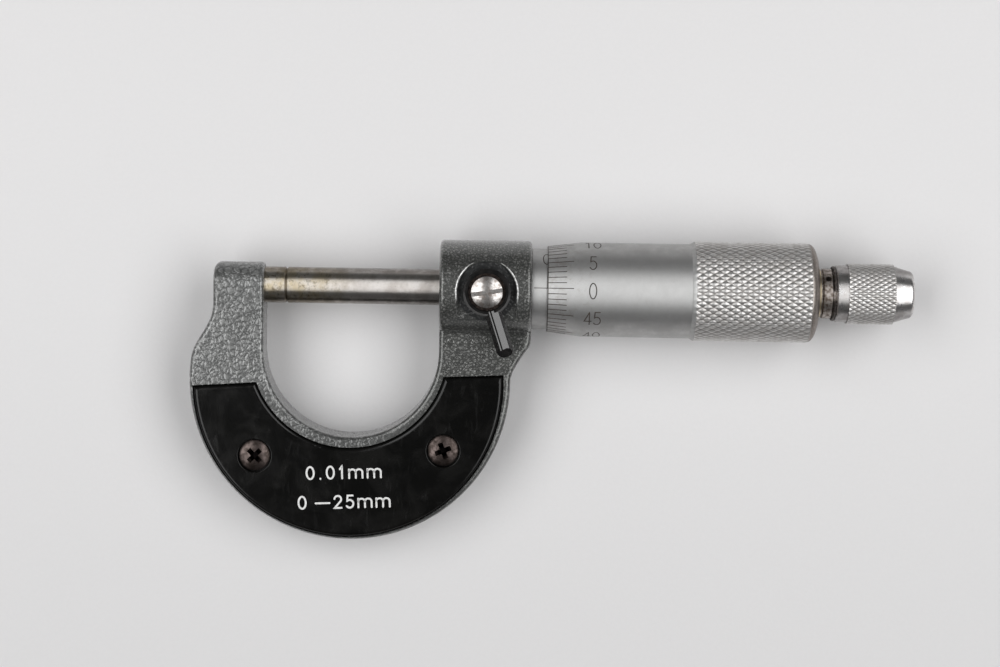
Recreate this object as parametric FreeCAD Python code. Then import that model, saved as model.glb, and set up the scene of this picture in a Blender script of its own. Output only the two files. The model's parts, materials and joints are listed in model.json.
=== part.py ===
import FreeCAD, Part
import math
import os

V = FreeCAD.Vector

# An outside micrometer, 0 to 25 mm, lying on a table and closed at zero.
# Millimetres. The origin is the middle of the anvil's measuring face. +X runs along the spindle
# axis towards the thimble, and +Z is up from the table. The C-frame hangs off the axis towards -Y.
# Parts that belong to the frame are drawn with the frame's faces square to Z, and lay_down()
# then turns them about the spindle axis until the frame's back cover meets the table.

# driving dimensions
spindle_r = 3.25             # spindle and anvil
thimble_r = 8.5              # smooth barrel of the thimble
knurl_r = 9.0                # grip of the thimble, which rests on the table
sleeve_r = 7.25              # graduated sleeve
running = 0.02               # radial clearance of the spindle in its guide
loose = 0.1                  # clearance between faces that pass without touching

# frame, seen square on
web_half = 4.1               # half of the frame's thickness
anvil_face = -3.9            # frame face that the anvil stands out of
anvil_end = -13.0            # outer end of the anvil boss
head_start = 27.65           # frame face that the spindle comes out of
head_end = 44.2              # end of the head, where the sleeve starts
head_r = 8.6                 # round barrel of the head
throat = V(11.9, -11.35, 0)  # centre of the throat's round bottom
throat_r = 15.8
bow = V(11.7, -16.9, 0)      # centre of the frame's round back
bow_r = 28.9
edge_r = 0.8                 # rounding of the frame's edges
head_fillet = 1.4            # fillet between the head's barrel and the frame's faces

# covers on both sides of the frame
cover_floor = 2.7            # height of the recess floor above the middle plane
cover_top = 4.4              # the covers stand a little proud of the frame
cover_round = 0.8            # rounding of the covers' rims
cover_gap = 0.12             # gap around a cover in its recess
cover_back = V(11.4, -17.35, 0)
cover_back_r = 27.9
cover_front = V(11.5, -11.35, 0)
cover_front_r = 17.75
cover_end_left = V(-10.5, -17.8, 0)
cover_end_right = V(33.5, -15.75, 0)
cover_end_left_slope = 3.9   # degrees that each end of the cover leans
cover_end_right_slope = 2.6
screw_spots = [V(-5.35, -30.67, 0), V(28.67, -29.27, 0)]
screw_turns = [45.0, 22.0]   # which way each cross recess points, degrees
screw_head_r = 2.8
screw_head_top = 4.35
seat_round = 0.15         # of the screw holes' rims in a cover
head_play = 0.2           # between a screw's head and the wall of its seat
shank_play = 0.25
screw_dome_r = 6.6           # ball radius of the domed screw heads
recess_length = 1.65         # cross recess of the cover screws: half length at the top
recess_width = 0.9
recess_depth = 1.45
screw_seat = 3.3
screw_shank_r = 1.2

# anvil and spindle
anvil_shank_r = 2.5
anvil_shank_depth = 8.0
tip_length = 1.8             # hard metal tips of anvil and spindle
tip_chamfer = 0.27
closed_gap = 0.01
thread_start = 41.0
thread_end = 79.5
thread_r = 3.8
cone_start = 81.5
cone_end = 90.0
cone_big_r = 3.65
cone_small_r = 2.6
tail_hole_r = 1.55
tail_hole_depth = 12.0

# threaded bush and sleeve
bush_start = 29.0
bush_head_r = 6.0
bush_body_r = 6.55
bush_body_end = 66.0
bush_end = 76.0
bush_tail_r = 5.2
guide_end = 40.0
relief_r = 3.95
nut_thread_start = 62.0
nut_thread_r = 3.85
slit_width = 0.5
nut_start = 69.6
nut_end = 75.4
nut_r = 6.3
nut_notch = 1.2
sleeve_start = 44.25
sleeve_end = 75.0
sleeve_bore_r = 6.6
spanner_hole_r = 0.6

# thimble
thimble_start = 46.95
bevel_edge_r = 7.7
bevel_end = 53.1
grip_start = 72.7
grip_end = 94.0
thimble_end = 95.7
thimble_bore_r = 7.35
thimble_bore_end = 81.0
connector_r = 5.5
connector_end = 93.4
washer_start = 95.3
washer_end = 96.1
washer_r = 4.45
tail_bore_r = 2.2

# ratchet
collar_start = 96.4
collar_end = 98.3
collar_r = 4.5
tommy_hole_r = 0.55
tommy_hole_angle = 35.0      # degrees from straight up, away from the frame
knob_start = 98.9
knob_band_r = 5.12
knob_grip_r = 5.5
knob_grip_start = 101.05
knob_grip_end = 109.35
knob_end = 112.9
knob_nose_r = 4.3
knob_bore_r = 4.3
knob_bore_end = 108.6
knob_bush_end = 100.4
stem_r = 3.0
stem_flange_r = 3.9
stem_flange_start = 100.45
stem_flange_end = 101.6
tooth_count = 24
tooth_height = 0.4
tooth_inner_r = 2.6
tooth_backlash = 0.05
disc_end = 104.0
disc_r = 4.2
key_r = 4.6
key_width = 1.1
ring_wire_r = 0.28
ring_x = 98.6
ring_r = 4.72
spring_wire_r = 0.35
spring_r = 3.2
spring_turns = 4

# lock, on an axis square to the frame through the spindle
lock_x = 36.15
pocket_floor = 6.9
pocket_r = 5.3
pocket_round = 0.3
pad_r = 1.9
pad_bottom = 3.36
pad_top = 4.3
clamp_r = 2.4
clamp_stub_r = 1.9
clamp_stub_top = 8.35
hub_r = 4.25
hub_bottom = 7.1
hub_top = 9.4
hub_seat = 8.4
hub_seat_r = 3.45
handle_angle = 18.0          # degrees from straight down the frame, towards the thimble
handle_length = 12.2
handle_width = 3.05
handle_bottom = 7.4
handle_top = 9.6
lock_washer_r = 3.35
lock_washer_top = 8.65
cap_head_r = 2.8
cap_head_top = 9.9
cap_dome_r = 5.9             # ball radius of the domed head
cap_shank_r = 0.9
cap_slot_width = 0.75
cap_slot_depth = 0.75
cap_slot_angle = 9.0


def lie_angle():
    """Turn about X, degrees, that lowers the back cover's rounded rim to the grip's level."""
    reach = cover_back_r - cover_round - cover_back.y
    height = cover_top - cover_round
    arm = math.hypot(reach, height)
    return math.degrees(math.asin((knurl_r - cover_round) / arm) - math.atan2(height, reach))


def lay_down(shape):
    """Turn a shape drawn square to the frame into the lying pose."""
    laid = shape.copy()
    laid.rotate(V(0, 0, 0), V(1, 0, 0), lie_angle())
    return laid


def turned(points):
    """Solid of revolution about X through (x, radius) points, closed in order."""
    outline = Part.makePolygon([V(x, 0, r) for x, r in points + points[:1]])
    return Part.Face(outline).revolve(V(0, 0, 0), V(1, 0, 0), 360)


def tube(x1, x2, outer, inner):
    """Plain ring about X."""
    return turned([(x1, inner), (x2, inner), (x2, outer), (x1, outer)])


def rod(x1, x2, r):
    return Part.makeCylinder(r, x2 - x1, V(x1, 0, 0), V(1, 0, 0))


def post(spot, r, z1, z2):
    """Cylinder along Z at a spot in the frame's plane."""
    return Part.makeCylinder(r, z2 - z1, V(spot.x, spot.y, z1), V(0, 0, 1))


def domed_head(spot, r, dome_r, z1, z2):
    """Round screw head along Z whose top, at z2, is part of a ball."""
    ball = Part.makeSphere(dome_r, V(spot.x, spot.y, z2 - dome_r))
    return post(spot, r, z1, z2).common(ball)


def block(x1, x2, y1, y2, z1, z2):
    return Part.makeBox(x2 - x1, y2 - y1, z2 - z1, V(x1, y1, z1))


def mirrored(shape):
    """The same shape on the other side of the frame's middle plane."""
    return shape.mirror(V(0, 0, 0), V(0, 0, 1))


def arc(a, b, c):
    return Part.Arc(a, b, c).toShape()


def line(a, b):
    return Part.makeLine(a, b)


def smooth(points, start, finish):
    """Curve through points that leaves along start and arrives along finish."""
    curve = Part.BSplineCurve()
    curve.interpolate(Points=points, InitialTangent=start, FinalTangent=finish)
    return curve.toShape()


def on_circle(centre, r, degrees):
    a = math.radians(degrees)
    return centre + V(r * math.cos(a), r * math.sin(a), 0)


def frame_outline():
    """Outline of the C-frame in its own plane, from the anvil boss round the bow to the head."""
    near = 1.0               # rounding of the anvil boss beside the anvil
    far = 1.7                # rounding of its outer corner
    top = web_half + 0.15    # the boss's round end is cut below this
    half = math.sqrt(0.5)
    down = V(0, -1, 0)
    near_mid = V(anvil_face - near + near * half, top - near + near * half, 0)
    far_mid = V(anvil_end + far - far * half, top - far + far * half, 0)
    left_join = on_circle(bow, bow_r, 176)
    right_join = on_circle(bow, bow_r, 0)
    left_way = V(math.sin(math.radians(-4)), -1, 0)
    shoulder = V(anvil_end, -3.0, 0)
    neck = V(head_end, -8.6, 0)
    parts = [
        arc(V(anvil_face, top - near, 0), near_mid, V(anvil_face - near, top, 0)),
        line(V(anvil_face - near, top, 0), V(anvil_end + far, top, 0)),
        arc(V(anvil_end + far, top, 0), far_mid, V(anvil_end, top - far, 0)),
        line(V(anvil_end, top - far, 0), shoulder),
        smooth([shoulder, V(-14.1, -7.2, 0), V(-16.2, -10.8, 0), left_join], down * 4, left_way * 4),
        arc(left_join, on_circle(bow, bow_r, 268), right_join),
        smooth([right_join, V(41.5, -13.9, 0), V(43.2, -11.2, 0), neck], down * -3, down * -3),
        line(neck, V(head_end, 0, 0)),
        line(V(head_end, 0, 0), V(head_start, 0, 0)),
        line(V(head_start, 0, 0), throat + V(head_start - throat.x, 0, 0)),
        arc(throat + V(head_start - throat.x, 0, 0), throat + V(0, -throat_r, 0),
            throat + V(anvil_face - throat.x, 0, 0)),
        line(throat + V(anvil_face - throat.x, 0, 0), V(anvil_face, top - near, 0)),
    ]
    return Part.Wire(Part.__sortEdges__(parts))


def cover_blank(grow, z1, z2):
    """Crescent of the cover between two heights, made larger all round by grow."""
    blank = post(cover_back, cover_back_r + grow, z1, z2)
    blank = blank.cut(post(cover_front, cover_front_r - grow, z1 - 1, z2 + 1))
    far = 60.0
    for end, slope, side in ((cover_end_left, cover_end_left_slope, -1),
                             (cover_end_right, cover_end_right_slope, 1)):
        inner = -8.0
        x1, x2 = (-far, -inner) if side < 0 else (inner, far)
        above = block(x1, x2, grow, far, z1 - 1, z2 + 1)
        above.rotate(V(0, 0, 0), V(0, 0, 1), slope)
        above.translate(end)
        blank = blank.cut(above)
    middle = block(-6, 29, cover_front.y, far, z1 - 1, z2 + 1)
    return blank.cut(middle)


def head_fillets():
    """Casting fillets along both faces of the frame, where the head's barrel rises out of them."""
    middle_z = web_half + head_fillet
    middle_y = -math.sqrt((head_r + head_fillet) ** 2 - middle_z ** 2)
    middle = V(0, middle_y, middle_z)
    touch = middle * (head_r / (head_r + head_fillet))
    within = V(0, touch.y + 1, web_half - 1)
    outline = [V(0, middle_y, web_half), V(0, middle_y, middle_z), touch, within,
               V(0, middle_y, web_half - 1)]
    corner = Part.Face(Part.makePolygon(outline + outline[:1]))
    start = head_start + edge_r
    length = head_end - head_start - 2 * edge_r
    bar = corner.extrude(V(length, 0, 0))
    bar.translate(V(start, 0, 0))
    bar = bar.cut(Part.makeCylinder(head_fillet, length, V(start, middle_y, middle_z), V(1, 0, 0)))
    return bar.fuse(mirrored(bar))


def frame_blank():
    """C-frame with its rounded edges, the round end of the anvil boss and the barrel of the head."""
    outline = frame_outline()
    outline.translate(V(0, 0, -web_half))
    plate = Part.Face(outline).extrude(V(0, 0, 2 * web_half))
    above = block(anvil_end - 5, 0, 0, 10, -10, 10)
    plate = plate.cut(above.cut(rod(anvil_end - 6, 1, web_half)))
    rims = [e for e in plate.Edges if abs(abs(e.BoundBox.ZMin) - web_half) < 1e-6
            and abs(e.BoundBox.ZMax - e.BoundBox.ZMin) < 1e-6 and e.BoundBox.YMin < -1e-3]
    plate = plate.makeFillet(edge_r, rims)
    head = rod(head_start, head_end, head_r)
    head = head.makeFillet(edge_r, [e for e in head.Edges if e.Closed])
    return plate.fuse(head).fuse(head_fillets()).removeSplitter()


def is_pocket_rim(edge):
    """True of the edges where the lock pocket's wall meets the head's barrel."""
    near = 1e-3
    return all(abs(math.hypot(p.y, p.z) - head_r) < near and p.z > pocket_floor - near
               and near > min(abs(abs(p.x - lock_x) - pocket_r),
                              abs(math.hypot(p.x - lock_x, p.y) - pocket_r))
               for p in edge.discretize(5))


def frame():
    solid = frame_blank()
    recess = cover_blank(cover_gap, cover_floor, cover_top + 1)
    solid = solid.cut(recess).cut(mirrored(recess))
    solid = solid.cut(rod(anvil_face - anvil_shank_depth, 0, anvil_shank_r))
    solid = solid.cut(rod(head_start - 1, bush_start, spindle_r + loose))
    solid = solid.cut(rod(bush_start, head_end + 1, bush_head_r))
    for spot in screw_spots:
        solid = solid.cut(post(spot, screw_shank_r + 0.05, -5, 5))
    lock = V(lock_x, 0, 0)
    pocket = post(lock, pocket_r, pocket_floor, head_r + 1)
    pocket = pocket.fuse(block(lock_x - pocket_r, lock_x + pocket_r, -head_r - 1, 0,
                               pocket_floor, head_r + 1))
    solid = solid.cut(pocket).cut(post(lock, clamp_r + 0.05, 0, head_r))
    return solid.makeFillet(pocket_round, [e for e in solid.Edges if is_pocket_rim(e)])


def cover(side):
    """Plastic cover; side is 1 for the front, -1 for the back."""
    solid = cover_blank(0, cover_floor, cover_top)
    rim = [e for e in solid.Edges if e.BoundBox.ZMin > cover_top - 1e-6]
    solid = solid.makeFillet(cover_round, rim)
    for spot in screw_spots:
        solid = solid.cut(post(spot, screw_head_r + head_play, screw_seat, cover_top + 1))
        solid = solid.cut(post(spot, screw_shank_r + shank_play, 0, cover_top))
    seats = [e for e in solid.Edges if e.BoundBox.ZMin > cover_top - 1e-6 and e.Closed]
    solid = solid.makeFillet(seat_round, seats)
    return solid if side > 0 else mirrored(solid)


def cross_screw(spot, turn):
    """Domed screw with a tapering cross recess, its head on the cover's seat."""
    head = domed_head(spot, screw_head_r, screw_dome_r, screw_seat, screw_head_top)
    head = head.fuse(post(spot, screw_shank_r, 0.4, screw_seat))
    bottom = 0.5
    side = [V(-recess_length, 0, 0), V(-bottom, 0, -recess_depth), V(bottom, 0, -recess_depth),
            V(recess_length, 0, 0), V(recess_length, 0, 1), V(-recess_length, 0, 1)]
    for k in range(2):
        arm = Part.Face(Part.makePolygon(side + side[:1])).extrude(V(0, recess_width, 0))
        arm.translate(V(0, -recess_width / 2, screw_head_top))
        arm.rotate(V(0, 0, 0), V(0, 0, 1), turn + 90 * k)
        arm.translate(spot)
        head = head.cut(arm)
    return head


def cover_screws():
    """The four like screws of both covers."""
    front = [cross_screw(spot, turn) for spot, turn in zip(screw_spots, screw_turns)]
    return Part.makeCompound(front + [mirrored(screw) for screw in front])


def anvil():
    """Anvil with its shank in the frame and its shoulder against the frame."""
    end = -tip_length
    return turned([(anvil_face - anvil_shank_depth + 0.1, 0), (end, 0), (end, spindle_r),
                   (anvil_face, spindle_r), (anvil_face, anvil_shank_r),
                   (anvil_face - anvil_shank_depth + 0.1, anvil_shank_r)])


def anvil_tip():
    return turned([(-tip_length, 0), (0, 0), (0, spindle_r - tip_chamfer), (-tip_chamfer, spindle_r),
                   (-tip_length, spindle_r)])


def spindle_tip():
    start = closed_gap
    return turned([(start, 0), (tip_length, 0), (tip_length, spindle_r),
                   (start + tip_chamfer, spindle_r), (start, spindle_r - tip_chamfer)])


def threaded_bush():
    """Bush fixed in the head: spindle guide in front, nut thread and slit tail behind."""
    solid = turned([(bush_start, spindle_r + running), (guide_end, spindle_r + running),
                    (guide_end, relief_r), (nut_thread_start, relief_r),
                    (nut_thread_start, nut_thread_r), (bush_end, nut_thread_r),
                    (bush_end, bush_tail_r), (bush_body_end, bush_tail_r),
                    (bush_body_end, bush_body_r), (head_end, bush_body_r),
                    (head_end, bush_head_r), (bush_start, bush_head_r)])
    for k in range(3):
        slit = block(bush_body_end + 1, bush_end + 1, 0, bush_body_r,
                     -slit_width / 2, slit_width / 2)
        slit.rotate(V(0, 0, 0), V(1, 0, 0), 120 * k)
        solid = solid.cut(slit)
    lock = V(lock_x, 0, 0)
    solid = solid.cut(lay_down(post(lock, pad_r + 0.05, 0, bush_body_r)))
    return solid.cut(lay_down(post(lock, clamp_r + 0.05, pad_top - 0.2, bush_body_r)))


def adjusting_nut():
    """Ring nut that closes the bush's slit tail on the spindle thread."""
    solid = tube(nut_start, nut_end, nut_r, bush_tail_r)
    for k in range(2):
        notch = block(nut_end - 1, nut_end + 1, bush_tail_r - 1, nut_r + 1,
                      -nut_notch / 2, nut_notch / 2)
        notch.rotate(V(0, 0, 0), V(1, 0, 0), 90 + 180 * k)
        solid = solid.cut(notch)
    return solid


def sleeve():
    """Graduated sleeve, with a hole for the zero-setting spanner on the far side."""
    solid = tube(sleeve_start, sleeve_end, sleeve_r, sleeve_bore_r)
    hole = Part.makeCylinder(spanner_hole_r, sleeve_r + 1, V(sleeve_start + 1.3, 0, 0), V(0, 0, -1))
    return solid.cut(hole)


def spindle():
    """Measuring screw: plain front, thread, and a tail cone drilled for the ratchet stem."""
    ramp = 0.4
    bore_start = cone_end - tail_hole_depth
    return turned([(tip_length, 0), (bore_start, 0), (bore_start, tail_hole_r),
                   (cone_end, tail_hole_r), (cone_end, cone_small_r),
                   (cone_start, cone_big_r), (cone_start, spindle_r), (thread_end, spindle_r),
                   (thread_end - ramp, thread_r), (thread_start + ramp, thread_r),
                   (thread_start, spindle_r), (tip_length, spindle_r)])


def thimble_connector():
    """Bush that seats the thimble on the spindle's cone."""
    return turned([(cone_start, cone_big_r), (cone_end, cone_small_r), (connector_end, cone_small_r),
                   (connector_end, connector_r), (cone_start, connector_r)])


def thimble():
    """Thimble with its graduated bevel, plain barrel, grip and rounded tail."""
    dome = arc(V(grip_end, 0, knurl_r), V(95.15, 0, 6.9), V(thimble_end, 0, 4.8))
    points = [(thimble_end, 4.8), (washer_start, 4.6), (washer_start, tail_bore_r),
              (connector_end, tail_bore_r), (connector_end, connector_r),
              (thimble_bore_end, connector_r), (thimble_bore_end, thimble_bore_r),
              (thimble_start, thimble_bore_r), (thimble_start, bevel_edge_r),
              (bevel_end, thimble_r), (grip_start, thimble_r),
              (grip_start + 0.2, knurl_r), (grip_end, knurl_r)]
    rest = Part.makePolygon([V(x, 0, r) for x, r in points])
    return Part.Face(Part.Wire([dome] + rest.Edges)).revolve(V(0, 0, 0), V(1, 0, 0), 360)


def tail_washer():
    return tube(washer_start, washer_end, washer_r, tail_bore_r)


def tooth(x, inner, outer, rises):
    """One saw tooth of the clutch on a face at x; rises is 1 for the stem, -1 for the disc."""
    pitch = 2 * math.pi * inner / tooth_count
    if rises > 0:
        corners = [(0, x), (0, x + tooth_height), (pitch, x)]
    else:
        corners = [(0, x), (pitch, x), (pitch, x - tooth_height)]
    side = Part.makePolygon([V(across, s, inner) for s, across in corners + corners[:1]])
    return Part.Face(side).extrude(V(0, 0, outer - inner))


def crown(x, outer, rises):
    """Ring of saw teeth about X."""
    teeth = []
    for k in range(tooth_count):
        one = tooth(x, tooth_inner_r, outer, rises)
        one.rotate(V(0, 0, 0), V(1, 0, 0), 360.0 * k / tooth_count)
        teeth.append(one)
    return teeth


def ratchet_stem():
    """Stem screwed into the spindle: collar with a tommy-bar hole, and a toothed flange."""
    edge = 0.2
    groove = 4.2
    shank_start = cone_end + 0.2
    solid = turned([(cone_end - tail_hole_depth + 1, 0), (stem_flange_end, 0),
                    (stem_flange_end, stem_flange_r), (stem_flange_start, stem_flange_r),
                    (stem_flange_start, stem_r), (knob_start, stem_r), (knob_start, groove),
                    (collar_end, groove), (collar_end, collar_r - edge),
                    (collar_end - edge, collar_r), (collar_start + edge, collar_r),
                    (collar_start, collar_r - edge), (collar_start, groove), (washer_end, groove),
                    (washer_end, tail_bore_r - 0.05), (shank_start, tail_bore_r - 0.05),
                    (shank_start, tail_hole_r - 0.02),
                    (cone_end - tail_hole_depth + 1, tail_hole_r - 0.02)])
    middle = (collar_start + collar_end) / 2
    tilt = math.radians(tommy_hole_angle)
    way = V(0, math.sin(tilt), math.cos(tilt))
    solid = solid.cut(Part.makeCylinder(tommy_hole_r, 12, V(middle, 0, 0) - way * 6, way))
    return solid.multiFuse(crown(stem_flange_end, stem_flange_r - 0.1, 1)).removeSplitter()


def snap_ring():
    """Open wire ring in the groove between collar and knob."""
    gap = 24.0
    wire = Part.makeTorus(ring_r, ring_wire_r, V(0, 0, 0), V(0, 0, 1), 0, 360, 360 - gap)
    wire.rotate(V(0, 0, 0), V(0, 1, 0), 90)
    wire.rotate(V(0, 0, 0), V(1, 0, 0), 200)
    wire.translate(V(ring_x, 0, 0))
    return wire


def ratchet_knob():
    """Knurled knob, open towards the thimble, with two keyways in its bore."""
    edge = 0.25
    nose = arc(V(knob_end - 0.75, 0, knob_nose_r), V(knob_end - 0.2, 0, knob_nose_r - 0.25),
               V(knob_end, 0, knob_nose_r - 0.8))
    points = [(knob_end, knob_nose_r - 0.8), (knob_end, 0), (knob_bore_end, 0),
              (knob_bore_end, knob_bore_r), (knob_start, knob_bore_r),
              (knob_start, knob_band_r - edge), (knob_start + edge, knob_band_r),
              (knob_grip_start, knob_band_r), (knob_grip_start + edge, knob_grip_r),
              (knob_grip_end - edge, knob_grip_r), (knob_grip_end, knob_band_r),
              (knob_end - 0.75, knob_nose_r)]
    rest = Part.makePolygon([V(x, 0, r) for x, r in points])
    solid = Part.Face(Part.Wire([nose] + rest.Edges)).revolve(V(0, 0, 0), V(1, 0, 0), 360)
    keyway = block(stem_flange_start, knob_bore_end, -key_r - 0.05, key_r + 0.05,
                   -key_width / 2 - 0.05, key_width / 2 + 0.05)
    return solid.cut(keyway)


def knob_bush():
    """Bush pressed into the knob's mouth; it runs on the stem and holds the knob on."""
    return tube(knob_start, knob_bush_end, knob_bore_r, stem_r + 0.05)


def clutch_disc():
    """Toothed disc that turns with the knob and is pushed against the stem's teeth."""
    face = stem_flange_end + tooth_height + tooth_backlash
    solid = rod(face, disc_end, disc_r)
    keys = block(face, disc_end, -key_r, key_r, -key_width / 2, key_width / 2)
    return solid.fuse(keys).multiFuse(crown(face, stem_flange_r - 0.1, -1)).removeSplitter()


def clutch_spring():
    """Coil spring between the clutch disc and the knob's inner end."""
    start = disc_end + spring_wire_r + 0.02
    length = knob_bore_end - disc_end - 2 * spring_wire_r - 0.04
    pitch = length / spring_turns
    coil = Part.makeLongHelix(pitch, length, spring_r)
    along = V(0, 2 * math.pi * spring_r, pitch)
    section = Part.Wire(Part.makeCircle(spring_wire_r, V(spring_r, 0, 0), along))
    wire = Part.Wire(coil.Edges).makePipeShell([section], True, True)
    wire.rotate(V(0, 0, 0), V(0, 1, 0), 90)
    wire.translate(V(start, 0, 0))
    return wire


def lock_pad():
    """Brass pad that the lock presses on the spindle."""
    return post(V(lock_x, 0, 0), pad_r, pad_bottom, pad_top)


def lock_screw():
    """Clamp screw: threaded foot in the head, and a stub with two flats for the lever."""
    lock = V(lock_x, 0, 0)
    foot_top = pocket_floor + 0.1
    solid = post(lock, clamp_r, pad_top, foot_top).fuse(post(lock, clamp_stub_r, foot_top,
                                                              clamp_stub_top))
    for side in (-1, 1):
        flat = block(-3, 3, 1.5 if side > 0 else -3, 3 if side > 0 else -1.5,
                     foot_top, clamp_stub_top + 1)
        flat.rotate(V(0, 0, 0), V(0, 0, 1), handle_angle)
        flat.translate(lock)
        solid = solid.cut(flat)
    return solid.cut(post(lock, cap_shank_r, 5.0, clamp_stub_top + 1))


def lock_lever():
    """Lever: round hub in the pocket and a ridged handle that points down the frame."""
    lock = V(lock_x, 0, 0)
    hub = post(V(0, 0, 0), hub_r, hub_bottom, hub_top)
    hub = hub.makeChamfer(0.4, [e for e in hub.Edges if e.BoundBox.ZMin > hub_top - 1e-6])
    half = handle_width / 2
    shoulder = handle_top - 1.0
    ridge_left, ridge_right = -0.72, -0.52
    face_left, face_right = -0.25, 0.9
    lean = 0.22              # how far the handle's broad face falls per millimetre
    groove = handle_top - 0.4
    section = [(-half, handle_bottom), (half, handle_bottom), (half, shoulder),
               (face_right, handle_top - lean * (face_right - ridge_left)),
               (face_left, handle_top - lean * (face_left - ridge_left)), (face_left, groove),
               (ridge_right, groove), (ridge_right, handle_top - lean * (ridge_right - ridge_left)),
               (ridge_left, handle_top), (-half, shoulder)]
    ring = Part.makePolygon([V(x, 0, z) for x, z in section + section[:1]])
    handle = Part.Face(ring).extrude(V(0, -handle_length, 0))
    tip = block(-5, 5, -handle_length - 5, -handle_length + half, 0, 20)
    tip = tip.cut(post(V(0, -handle_length + half, 0), half, 0, 20))
    slope = block(-5, 5, -8, 0, 0, 6)
    slope.rotate(V(0, 0, 0), V(1, 0, 0), 32)
    slope.translate(V(0, -handle_length + 1.7, handle_top - 0.25))
    solid = hub.fuse(handle.cut(tip).cut(slope))
    solid = solid.cut(post(V(0, 0, 0), hub_seat_r, hub_seat, hub_top + 1))
    socket = post(V(0, 0, 0), clamp_stub_r + 0.02, 0, hub_top)
    socket = socket.common(block(-3, 3, -1.52, 1.52, 0, 20))
    solid = solid.cut(socket)
    solid.rotate(V(0, 0, 0), V(0, 0, 1), handle_angle)
    solid.translate(lock)
    return solid


def lock_washer():
    lock = V(lock_x, 0, 0)
    ring = post(lock, lock_washer_r, hub_seat, lock_washer_top)
    return ring.cut(post(lock, cap_shank_r + 0.1, 0, 20))


def lock_cap_screw():
    """Slotted screw that holds the lever on the clamp screw."""
    lock = V(lock_x, 0, 0)
    head = domed_head(lock, cap_head_r, cap_dome_r, lock_washer_top, cap_head_top)
    slot = block(-5, 5, -cap_slot_width / 2, cap_slot_width / 2,
                 cap_head_top - cap_slot_depth, cap_head_top + 1)
    slot.rotate(V(0, 0, 0), V(0, 0, 1), cap_slot_angle)
    slot.translate(lock)
    return head.cut(slot).fuse(post(lock, cap_shank_r, 5.2, lock_washer_top))


framed = {
    "frame": frame(),
    "front_cover": cover(1),
    "back_cover": cover(-1),
    "cover_screws": cover_screws(),
    "lock_pad": lock_pad(),
    "lock_screw": lock_screw(),
    "lock_lever": lock_lever(),
    "lock_washer": lock_washer(),
    "lock_cap_screw": lock_cap_screw(),
}
round_parts = {
    "anvil": anvil(),
    "anvil_tip": anvil_tip(),
    "threaded_bush": threaded_bush(),
    "adjusting_nut": adjusting_nut(),
    "sleeve": sleeve(),
    "spindle_tip": spindle_tip(),
    "spindle": spindle(),
    "thimble_connector": thimble_connector(),
    "thimble": thimble(),
    "tail_washer": tail_washer(),
    "ratchet_stem": ratchet_stem(),
    "snap_ring": snap_ring(),
    "ratchet_knob": ratchet_knob(),
    "knob_bush": knob_bush(),
    "clutch_disc": clutch_disc(),
    "clutch_spring": clutch_spring(),
}

os.makedirs("parts", exist_ok=True)
for node, shape in framed.items():
    lay_down(shape).exportStep("parts/%s.step" % node)
for node, shape in round_parts.items():
    shape.exportStep("parts/%s.step" % node)
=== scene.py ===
"""Looks of the 0-25 mm outside micrometer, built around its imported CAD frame."""

import json
import math

import bmesh
import bpy
from mathutils import Matrix, Vector


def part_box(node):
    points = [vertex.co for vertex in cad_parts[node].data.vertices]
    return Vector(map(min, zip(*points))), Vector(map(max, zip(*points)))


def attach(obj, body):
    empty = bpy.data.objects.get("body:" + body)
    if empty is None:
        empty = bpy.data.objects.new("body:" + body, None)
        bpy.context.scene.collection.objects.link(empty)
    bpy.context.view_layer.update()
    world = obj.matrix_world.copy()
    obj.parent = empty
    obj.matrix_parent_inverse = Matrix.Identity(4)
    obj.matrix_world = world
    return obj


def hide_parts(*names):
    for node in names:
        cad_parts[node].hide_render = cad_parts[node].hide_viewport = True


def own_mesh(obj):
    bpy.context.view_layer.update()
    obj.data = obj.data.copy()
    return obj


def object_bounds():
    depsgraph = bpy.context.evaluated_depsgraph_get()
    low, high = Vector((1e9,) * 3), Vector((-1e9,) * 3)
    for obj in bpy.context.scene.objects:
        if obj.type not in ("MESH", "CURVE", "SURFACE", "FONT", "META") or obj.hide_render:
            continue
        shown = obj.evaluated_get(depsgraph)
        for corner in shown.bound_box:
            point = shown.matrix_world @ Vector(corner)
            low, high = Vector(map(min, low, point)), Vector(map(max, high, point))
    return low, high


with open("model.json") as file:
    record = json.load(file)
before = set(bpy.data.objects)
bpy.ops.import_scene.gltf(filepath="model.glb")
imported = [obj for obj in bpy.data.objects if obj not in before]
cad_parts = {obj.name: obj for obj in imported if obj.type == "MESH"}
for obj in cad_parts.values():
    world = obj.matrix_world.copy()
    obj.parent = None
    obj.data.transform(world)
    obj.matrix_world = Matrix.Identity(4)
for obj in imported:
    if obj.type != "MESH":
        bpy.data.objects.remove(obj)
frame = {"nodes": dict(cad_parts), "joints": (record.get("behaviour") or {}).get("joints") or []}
cad_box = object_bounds()

MM = 0.001
NODES = frame["nodes"]


def millimetres(point):
    return Vector(point) / MM


def joint(name):
    return next(j for j in frame["joints"] if j["name"] == name)


# ---------------------------------------------------------------- places, in millimetres
thimble_low, thimble_high = map(millimetres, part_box("thimble"))
knob_low, knob_high = map(millimetres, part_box("ratchet_knob"))
sleeve_low, sleeve_high = map(millimetres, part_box("sleeve"))
washer_start = millimetres(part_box("tail_washer")[0]).x
floor_z = min(millimetres(corner).z for corner in cad_box)

lock_axis = Vector(joint("lock_turn")["axis"])
lock_x = millimetres(joint("lock_turn")["pos_m"]).x
# down the face of the C-frame, away from the spindle
plate_down = Vector((0, -lock_axis.z, lock_axis.y))
cover_top = 4.4              # height of the covers' faces above the frame's middle plane
screw_recess = 3.75          # height of the bottoms of their screws' cross recesses
spindle_r = 3.25
pocket_r = 5.3               # of the milled lock pocket
pocket_floor = 6.9           # its height above the frame's middle plane

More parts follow.
